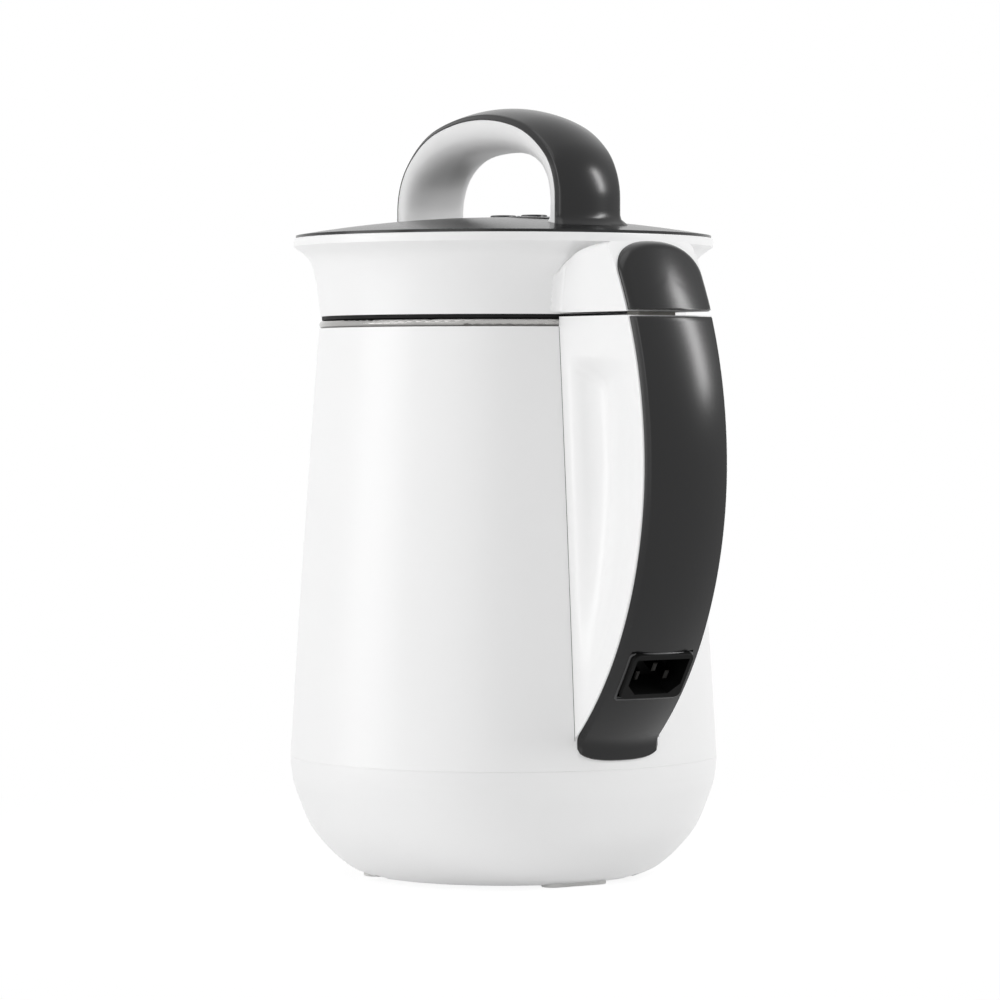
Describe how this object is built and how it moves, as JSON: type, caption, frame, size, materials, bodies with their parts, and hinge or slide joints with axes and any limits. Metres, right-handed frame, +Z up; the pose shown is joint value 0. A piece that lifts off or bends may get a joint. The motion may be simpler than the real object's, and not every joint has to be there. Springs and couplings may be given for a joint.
{
  "type": "soy milk maker",
  "caption": "Countertop soy milk maker: heated jug with side handle and a motor head with blade and carry handle that lifts off.",
  "frame": {"origin": "on the jug's axis at the worktop, under the feet", "axes": "+Z up along the jug's axis, +X towards the jug's handle, +Y to the right when looking from behind the handle towards the jug"},
  "size_m": [0.2302, 0.1796, 0.3215],
  "materials": {
    "white_plastic": "moulded, smooth",
    "dark_plastic": "moulded, satin",
    "black_gloss": "moulded, glossy",
    "black_plastic": "moulded, matt",
    "button_plastic": "moulded, smooth",
    "black_rubber": "moulded",
    "grey_silicone": "moulded",
    "pot_steel": "drawn and brushed",
    "bright_steel": "polished",
    "screw_steel": "zinc plated",
    "plate_aluminium": "cast",
    "bracket_aluminium": "pressed",
    "core_steel": "stacked sheet",
    "winding_copper": "enamelled wire",
    "contact_brass": "turned",
    "carbon": "pressed",
    "board_green": "coated board",
    "lead_jacket": "extruded",
    "bronze": "sintered"
  },
  "bodies": {
    "jug": {"outer_shell": "white_plastic", "base_bowl": "white_plastic", "bottom_cover": "white_plastic", "foot_pads": "black_rubber", "base_screws": "screw_steel", "inner_pot": "pot_steel", "pot_gasket": "grey_silicone", "pot_nuts": "screw_steel", "heater_plate": "plate_aluminium", "heater_tube": "bright_steel", "thermostat": "plate_aluminium", "thermal_fuse": "black_plastic", "handle_shell": "white_plastic", "handle_strip": "dark_plastic", "handle_screws": "screw_steel", "mains_inlet": "black_plastic", "inlet_pins": "bright_steel", "handle_lead": "lead_jacket", "heater_lead": "lead_jacket", "jug_coupler": "black_plastic"},
    "head": {"head_shell": "white_plastic", "head_strip": "dark_plastic", "head_coupler": "black_plastic", "coupler_pins": "contact_brass", "head_lead": "lead_jacket", "deck_cover": "dark_plastic", "control_panel": "black_gloss", "panel_board": "board_green", "power_board": "board_green", "board_parts": "black_plastic", "arch_cap": "dark_plastic", "arch_lining": "white_plastic", "lower_cover": "pot_steel", "cover_nuts": "screw_steel", "seal_ring": "black_rubber", "shaft_sleeve": "pot_steel", "sleeve_bush": "bronze", "shaft_seal": "black_rubber", "temperature_probe": "bright_steel", "overflow_probe": "bright_steel", "stator_core": "core_steel", "field_coils": "winding_copper", "lower_bracket": "bracket_aluminium", "upper_bracket": "bracket_aluminium", "motor_bolts": "screw_steel", "motor_bearings": "bright_steel", "motor_mounts": "black_rubber", "brush_holders": "contact_brass", "carbon_brushes": "carbon"},
    "rotor": {"motor_shaft": "bright_steel", "armature_core": "core_steel", "armature_winding": "winding_copper", "commutator": "contact_brass", "cooling_fan": "black_plastic", "blade": "bright_steel", "blade_nut": "bright_steel"},
    "start_button": {"start_button": "button_plastic"},
    "program_button": {"program_button": "button_plastic"},
    "stop_button": {"stop_button": "button_plastic"}
  },
  "joints": [
    {"name": "head_lift", "type": "slide", "parent": "jug", "child": "head", "axis": [0, 0, 1], "range_m": [0, 0.18]},
    {"name": "rotor_spin", "type": "hinge", "parent": "head", "child": "rotor", "pos_m": [0, 0, 0.218], "axis": [0, 0, 1], "continuous": true},
    {"name": "start_press", "type": "slide", "parent": "head", "child": "start_button", "axis": [0, 0, -1], "range_m": [0, 0.0008], "stiffness_N_per_m": 500, "springref_m": -0.0006},
    {"name": "program_press", "type": "slide", "parent": "head", "child": "program_button", "axis": [0, 0, -1], "range_m": [0, 0.0008], "stiffness_N_per_m": 500, "springref_m": -0.0006},
    {"name": "stop_press", "type": "slide", "parent": "head", "child": "stop_button", "axis": [0, 0, -1], "range_m": [0, 0.0008], "stiffness_N_per_m": 500, "springref_m": -0.0006}
  ]
}
